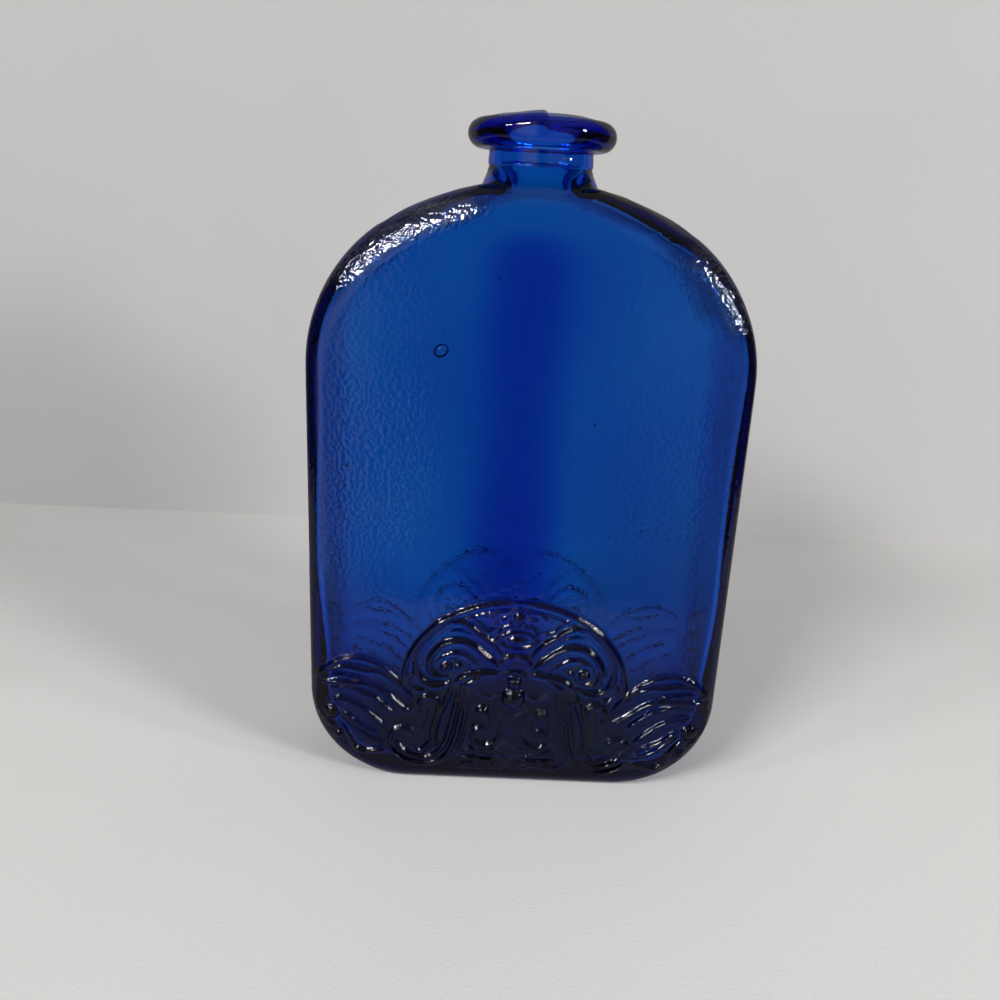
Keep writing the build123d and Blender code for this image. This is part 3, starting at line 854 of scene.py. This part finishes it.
def write_mesh(name, places, faces, material, **shades):
    """Makes a smooth-shaded object in metres from triangles, with shares for its material."""
    mesh = bpy.data.meshes.new(name)
    mesh.vertices.add(len(places))
    mesh.vertices.foreach_set("co", (places * METRE).astype(np.float32).ravel())
    mesh.loops.add(faces.size)
    mesh.loops.foreach_set("vertex_index", faces.astype(np.int32).ravel())
    mesh.polygons.add(len(faces))
    mesh.polygons.foreach_set("loop_start", np.arange(0, faces.size, 3, dtype=np.int32))
    mesh.polygons.foreach_set("use_smooth", np.ones(len(faces), bool))
    mesh.update()
    if mesh.validate():
        raise RuntimeError(f"{name} has faulty faces")
    for key, values in shades.items():
        mesh.attributes.new(key, "FLOAT", "POINT").data.foreach_set("value", values.astype(np.float32))
    mesh.materials.append(material)
    return new_object(name, mesh)


# Materials

def new_material(name):
    """An empty material and its node tree."""
    material = bpy.data.materials.new(name)
    material.use_nodes = True
    material.node_tree.nodes.clear()
    return material, material.node_tree


def fill_socket(tree, socket, value):
    """Links another node's output to a socket, or sets the socket's own value."""
    if isinstance(value, bpy.types.NodeSocket):
        tree.links.new(value, socket)
    else:
        socket.default_value = value


def add_node(tree, kind, **settings):
    """A shader node with its settings, where a key may name a socket, with underscores for spaces."""
    node = tree.nodes.new("ShaderNode" + kind)
    for key, value in settings.items():
        socket = node.inputs.get(key.replace("_", " "))
        if socket is None:
            setattr(node, key, value)
        else:
            fill_socket(tree, socket, value)
    return node


def maths(tree, operation, first, second, use_clamp=False):
    """A sum, difference or product of two sockets, or of a socket and a number."""
    node = add_node(tree, "Math", operation=operation, use_clamp=use_clamp)
    for socket, value in zip(node.inputs, (first, second)):
        fill_socket(tree, socket, value)
    return node.outputs[0]


def smooth_node(tree, source, low, high):
    """A smooth step of a socket's value from zero at low to one at high."""
    return add_node(
        tree, "MapRange", clamp=True, interpolation_type="SMOOTHSTEP",
        Value=source, From_Min=low, From_Max=high,
    ).outputs["Result"]


def noise(tree, scale, detail, roughness=0.5):
    """A noise over the object's own coordinates, with so many cells in a metre."""
    place = add_node(tree, "TexCoord").outputs["Object"]
    return add_node(
        tree, "TexNoise", Vector=place, Scale=scale, Detail=detail, Roughness=roughness
    ).outputs["Fac"]


def mix_shaders(tree, share, first, second):
    """The first shader, and as much of the second as the share says."""
    mix = add_node(tree, "MixShader")
    for socket, source in zip(mix.inputs, (share, first.outputs[0], second.outputs[0])):
        fill_socket(tree, socket, source)
    return mix.outputs[0]


def glass_material(look):
    """Cobalt glass: its colour is taken up at each face and along the way through it.

    The thick parts use the deeper skin tint, which also paints shade low down and a dark ground
    under the shoulder glints. A fine noise, scaled by the mesh's own share of hammered skin, gives
    the mould's orange peel, over a broad and shallow swell. Where the hammering is full, a brilliant
    coat paints a sheen on, so that each dimple flashes as a painted glint.
    """
    material, tree = new_material("cobalt_glass")
    # The deep-tint share: thick glass, with painted shade low down and a painted dark ground under the
    # glints.
    thick = add_node(tree, "Attribute", attribute_name="thick").outputs["Fac"]
    # The hammering share: the bump's strength, and a painted sheen where it is full.
    hammer = add_node(tree, "Attribute", attribute_name="hammer").outputs["Fac"]
    tint = add_node(tree, "Mix", data_type="RGBA", Factor=thick, A=(*look.skin, 1), B=(*look.deep_skin, 1))
    swell = add_node(tree, "Bump", Strength=0.3, Distance=0.0006, Height=noise(tree, 70.0, 2.0))
    peel = add_node(
        tree, "Bump", Strength=maths(tree, "MULTIPLY", hammer, look.peel), Distance=0.0008,
        Height=noise(tree, 650.0, 1.0, 0.45), Normal=swell.outputs["Normal"],
    ).outputs["Normal"]
    # A brilliant coat, weighted where the hammering is full, paints a sheen that makes the glints.
    skin = add_node(
        tree, "BsdfPrincipled", Base_Color=tint.outputs["Result"], Roughness=look.roughness,
        IOR=look.index, Transmission_Weight=1.0, Normal=peel, Coat_Normal=peel, Coat_IOR=2.2,
        Coat_Roughness=0.02, Coat_Weight=smooth_node(tree, hammer, 0.45, 0.9),
    )
    clear = add_node(tree, "BsdfTransparent", Color=(*look.deep_skin, 1))
    depth = add_node(tree, "VolumeAbsorption", Color=(*look.tint, 1), Density=look.depth_of_colour)
    shadow = add_node(tree, "LightPath").outputs["Is Shadow Ray"]
    surface = mix_shaders(tree, shadow, skin, clear)
    add_node(tree, "OutputMaterial", Surface=surface, Volume=depth.outputs[0])
    return material


def cloth_material(name, colour, one_sided=False):
    """Pale woven sheet: a matt colour with a slight mottle and a fine bump.

    The glass mirrors it darker than it is. A one-sided sheet is clear to a camera behind it,
    so that it never hides the flask's back.
    """
    material, tree = new_material(name)
    ramp = add_node(tree, "ValToRGB", Fac=noise(tree, 6.0, 4.0))
    ramp.color_ramp.elements[0].color = (*(0.94 * c for c in colour), 1)
    ramp.color_ramp.elements[1].color = (*(min(1.0, 1.04 * c) for c in colour), 1)
    path = add_node(tree, "LightPath").outputs
    mirrored = maths(tree, "SUBTRACT", path["Is Glossy Ray"], path["Is Transmission Ray"], use_clamp=True)
    dim = add_node(
        tree, "Mix", data_type="RGBA", Factor=mirrored, A=ramp.outputs["Color"],
        B=(*(0.35 * c for c in colour), 1),
    )
    weave = add_node(tree, "Bump", Strength=0.3, Distance=0.0003, Height=noise(tree, 900.0, 2.0))
    skin = add_node(
        tree, "BsdfPrincipled", Base_Color=dim.outputs["Result"], Roughness=0.9,
        Normal=weave.outputs["Normal"],
    )
    surface = skin.outputs[0]
    if one_sided:
        back = add_node(tree, "NewGeometry").outputs["Backfacing"]
        seen_behind = maths(tree, "MULTIPLY", back, path["Is Camera Ray"])
        surface = mix_shaders(tree, seen_behind, skin, add_node(tree, "BsdfTransparent"))
    add_node(tree, "OutputMaterial", Surface=surface)
    return material


# Stage

def stage_sheet(name, corners, material):
    """A flat rectangle, given by its corners in metres, that isn't part of the object."""
    mesh = bpy.data.meshes.new(name)
    mesh.from_pydata([Vector(corner) for corner in corners], [], [(0, 1, 2, 3)])
    mesh.materials.append(material)
    new_object(name, mesh)


def lamp(name, place, aim, size, power, mirrored):
    """A rectangular area lamp that looks at a point, out of the camera's sight.

    A fill lamp isn't mirrored: it lights the cloth and leaves no shine on the glass.
    """
    data = bpy.data.lights.new(name, "AREA")
    data.shape = "RECTANGLE"
    data.size, data.size_y = size
    data.energy = power
    thing = new_object(name, data)
    thing.location = place
    thing.rotation_euler = (Vector(aim) - Vector(place)).to_track_quat("-Z", "Y").to_euler()
    thing.visible_camera = False
    thing.visible_glossy = mirrored


def set_camera(lens):
    """The photograph's viewpoint: its place, pitch, yaw and roll, measured on the flask."""
    pitch, yaw, roll = (radians(turn) for turn in CAMERA_TURNS)
    ahead = Vector((np.sin(yaw) * np.cos(pitch), np.cos(yaw) * np.cos(pitch), -np.sin(pitch)))
    level = Vector((np.cos(yaw), -np.sin(yaw), 0.0))
    upright = level.cross(ahead)
    right = level * np.cos(roll) + upright * np.sin(roll)
    up = upright * np.cos(roll) - level * np.sin(roll)
    data = bpy.data.cameras.new("camera")
    data.lens = lens
    data.sensor_width = 36.0
    camera = new_object("camera", data)
    turned = Matrix((right, up, -ahead)).transposed().to_4x4()
    camera.matrix_world = Matrix.Translation(CAMERA_PLACE) @ turned
    bpy.context.scene.camera = camera


def set_world(look):
    """Soft surroundings: a pale ceiling and half-lit corners to the left and right of the viewer.

    The brightness is the room's own light, plus the ceiling's share, which grows with the
    direction's height, plus each corner's share, which grows with its reach sideways and back.
    Past the sheets, the camera and rays through the glass see a plain pale surround instead.
    """
    world = bpy.data.worlds.new("studio")
    world.use_nodes = True
    tree = world.node_tree
    tree.nodes.clear()
    ahead = add_node(tree, "TexCoord").outputs["Generated"]
    x, y, z = add_node(tree, "SeparateXYZ", Vector=ahead).outputs
    viewer = smooth_node(tree, y, -0.55, -0.85)
    above = maths(tree, "MULTIPLY", smooth_node(tree, z, 0.45, 1.0), look.ceiling)
    corners = []
    for near, far, light in ((-0.07, -0.28, look.left), (0.07, 0.28, look.right)):
        share = maths(tree, "MULTIPLY", smooth_node(tree, x, near, far), viewer)
        corners.append(maths(tree, "MULTIPLY", share, light))
    total = maths(tree, "ADD", maths(tree, "ADD", *corners), maths(tree, "ADD", above, look.room))
    path = add_node(tree, "LightPath").outputs
    seen = maths(tree, "ADD", path["Is Camera Ray"], path["Is Transmission Ray"], use_clamp=True)
    strength = add_node(tree, "Mix", data_type="FLOAT", Factor=seen, A=total, B=look.surround)
    sky = add_node(tree, "Background", Color=(1.0, 0.985, 0.97, 1.0), Strength=strength.outputs["Result"])
    add_node(tree, "OutputWorld", Surface=sky.outputs[0])
    bpy.context.scene.world = world


# Operators, panel and registration

class FLASK_OT_glass(bpy.types.Operator):
    """Build the flask's glass, with its relief, neck, applied lip, hollow and seeds"""

    bl_idname = "flask.glass"
    bl_label = "Build glass"

    def execute(self, context):
        sizes = context.scene.flask_sizes
        places, faces = ring_faces(glass_rings(sizes))
        form = outer_form(sizes)
        for row in SEEDS:
            more, sides = seed(*row, form.half_d, sizes.panel_wall / METRE)
            faces = np.vstack([faces, sides + len(places)])
            places = np.vstack([places, more])
        # Beside thick glass the deep-tint share carries painted shade, and beside the bump the hammering
        # share a painted sheen.
        glass = write_mesh(
            "flask_glass", places, faces, glass_material(context.scene.glass_look),
            thick=deep_tint_and_painted_shade(form, places), hammer=hammer_shade(form, places),
        )
        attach(glass, BODY)
        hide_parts(*GLASS_NODES)
        return {"FINISHED"}


class FLASK_OT_stage(bpy.types.Operator):
    """Lay the pale floor and backdrop, and set the lamps, the surroundings and the camera"""

    bl_idname = "flask.stage"
    bl_label = "Set stage"

    def execute(self, context):
        look = context.scene.stage_look
        wide, near, high, far = STAGE_HALF, STAGE_FRONT, BACKDROP_TOP, look.backdrop_distance
        floor = ((-wide, near, 0), (wide, near, 0), (wide, far, 0), (-wide, far, 0))
        wall = ((-wide, far, 0), (wide, far, 0), (wide, far, high), (-wide, far, high))
        stage_sheet("floor", floor, cloth_material("floor_cloth", look.floor_colour))
        stage_sheet("backdrop", wall, cloth_material("backdrop_cloth", look.backdrop_colour, one_sided=True))
        for row in LAMPS:
            lamp(*row)
        set_world(look)
        set_camera(look.lens)
        context.scene.view_settings.view_transform = "Standard"
        return {"FINISHED"}


class FLASK_PT_panel(bpy.types.Panel):
    """Buttons and sizes of the flask in the sidebar"""

    bl_idname = "FLASK_PT_panel"
    bl_label = "Glass flask"
    bl_space_type = "VIEW_3D"
    bl_region_type = "UI"
    bl_category = "Flask"

    def draw(self, context):
        for group in (context.scene.flask_sizes, context.scene.glass_look, context.scene.stage_look):
            for name in group.__annotations__:
                self.layout.prop(group, name)
        self.layout.operator(FLASK_OT_glass.bl_idname)
        self.layout.operator(FLASK_OT_stage.bl_idname)


CLASSES = (FlaskSizes, GlassLook, StageLook, FLASK_OT_glass, FLASK_OT_stage, FLASK_PT_panel)


def register():
    for cls in CLASSES:
        bpy.utils.register_class(cls)
    bpy.types.Scene.flask_sizes = bpy.props.PointerProperty(type=FlaskSizes)
    bpy.types.Scene.glass_look = bpy.props.PointerProperty(type=GlassLook)
    bpy.types.Scene.stage_look = bpy.props.PointerProperty(type=StageLook)


def unregister():
    del bpy.types.Scene.flask_sizes
    del bpy.types.Scene.glass_look
    del bpy.types.Scene.stage_look
    for cls in reversed(CLASSES):
        bpy.utils.unregister_class(cls)


def main():
    register()
    bpy.ops.flask.glass()
    bpy.ops.flask.stage()


if __name__ == "__main__":
    main()
